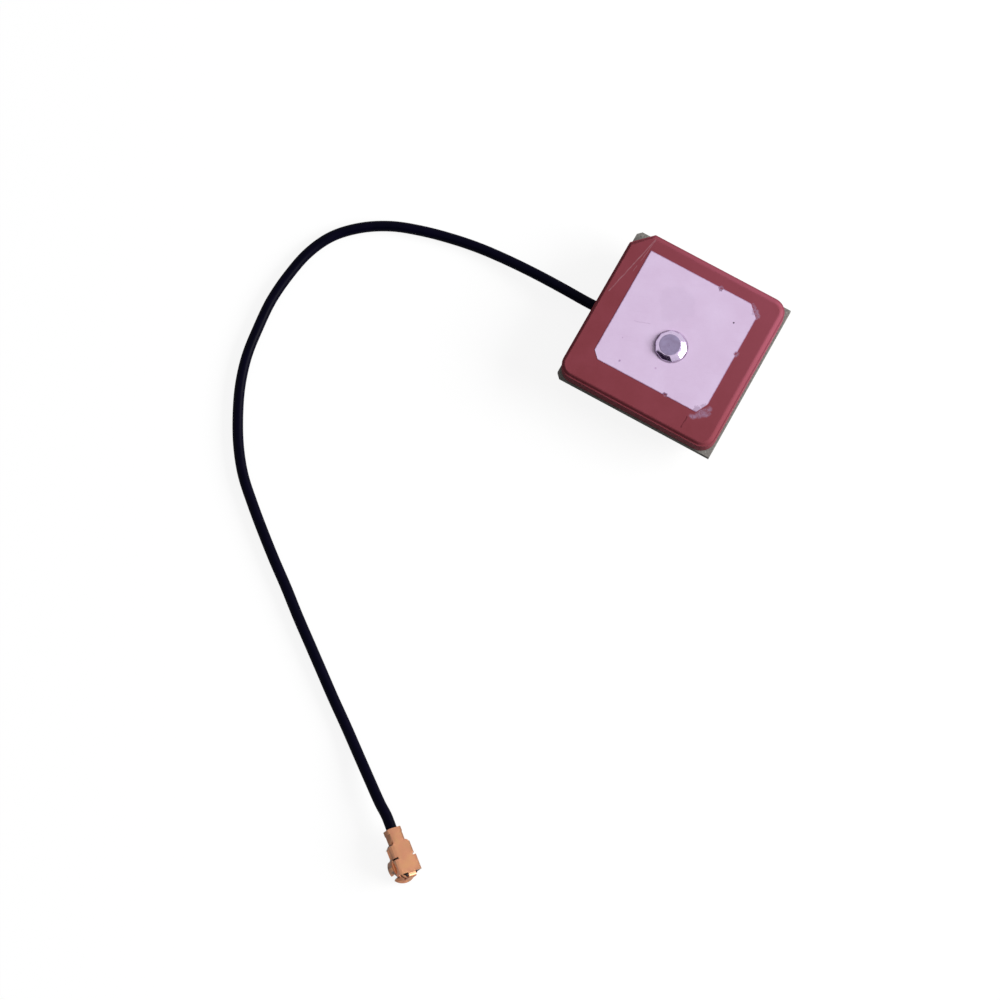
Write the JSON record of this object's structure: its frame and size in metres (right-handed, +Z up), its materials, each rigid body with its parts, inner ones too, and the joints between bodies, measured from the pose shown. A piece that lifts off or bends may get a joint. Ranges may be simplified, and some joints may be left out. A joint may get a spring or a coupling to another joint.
{
  "type": "gps patch antenna",
  "caption": "Square ceramic patch antenna on a small circuit board, with a shield can below it and a thin coaxial lead that ends in a push-on plug, for receiving satellite position signals.",
  "frame": {"origin": "Middle of the shield can's flat underside, which is also the middle of the board as seen from above.", "axes": "+Z points up out of the silvered patch. +X and +Y run along the board's sides: the lead leaves the side at -X, and the cut corner of the ceramic lies at -X +Y."},
  "size_m": [0.0492, 0.072, 0.0061],
  "materials": {
    "tile_ceramic": "matt fired dielectric ceramic, reddish brown",
    "fired_silver": "satin fired silver paste, faintly grainy",
    "pin_metal": "dull silver-plated pin head",
    "solder": "bright reflowed solder",
    "adhesive": "double-sided adhesive sheet",
    "laminate": "greyish green glass laminate with routed edges",
    "plated_copper": "gold-flashed copper",
    "tinned_steel": "drawn tin-plated sheet",
    "chip_resin": "black moulded resin",
    "chip_ceramic": "fired chip ceramic",
    "coil_ceramic": "blue-grey chip ceramic",
    "gold_plate": "gold plate",
    "braid_wire": "tinned copper wire",
    "wire_insulation": "white fluoropolymer",
    "lead_jacket": "smooth black fluoropolymer jacket",
    "plug_bronze": "gold-flashed phosphor bronze sheet",
    "plug_resin": "dark brown moulded resin"
  },
  "bodies": {
    "root": {"ceramic_tile": "tile_ceramic", "patch_silver": "fired_silver", "ground_silver": "fired_silver", "feed_pin": "pin_metal", "pin_collar": "solder", "adhesive_sheet": "adhesive", "circuit_board": "laminate", "copper_top": "plated_copper", "copper_under": "plated_copper", "pin_joint": "solder", "shield_can": "tinned_steel", "can_solder": "solder", "amplifier_first": "chip_resin", "amplifier_second": "chip_resin", "amplifier_legs": "tinned_steel", "band_filter": "chip_ceramic", "filter_lid": "gold_plate", "capacitors": "chip_ceramic", "resistors": "chip_resin", "inductors": "coil_ceramic", "chip_ends": "tinned_steel", "lead_braid": "braid_wire", "braid_solder": "solder", "lead_insulation": "wire_insulation", "lead_core": "braid_wire", "core_solder": "solder", "lead_jacket": "lead_jacket", "plug_shell": "plug_bronze", "plug_insulator": "plug_resin", "plug_contact": "gold_plate", "plug_braid": "braid_wire", "plug_insulation": "wire_insulation", "plug_core": "braid_wire"}
  },
  "joints": []
}
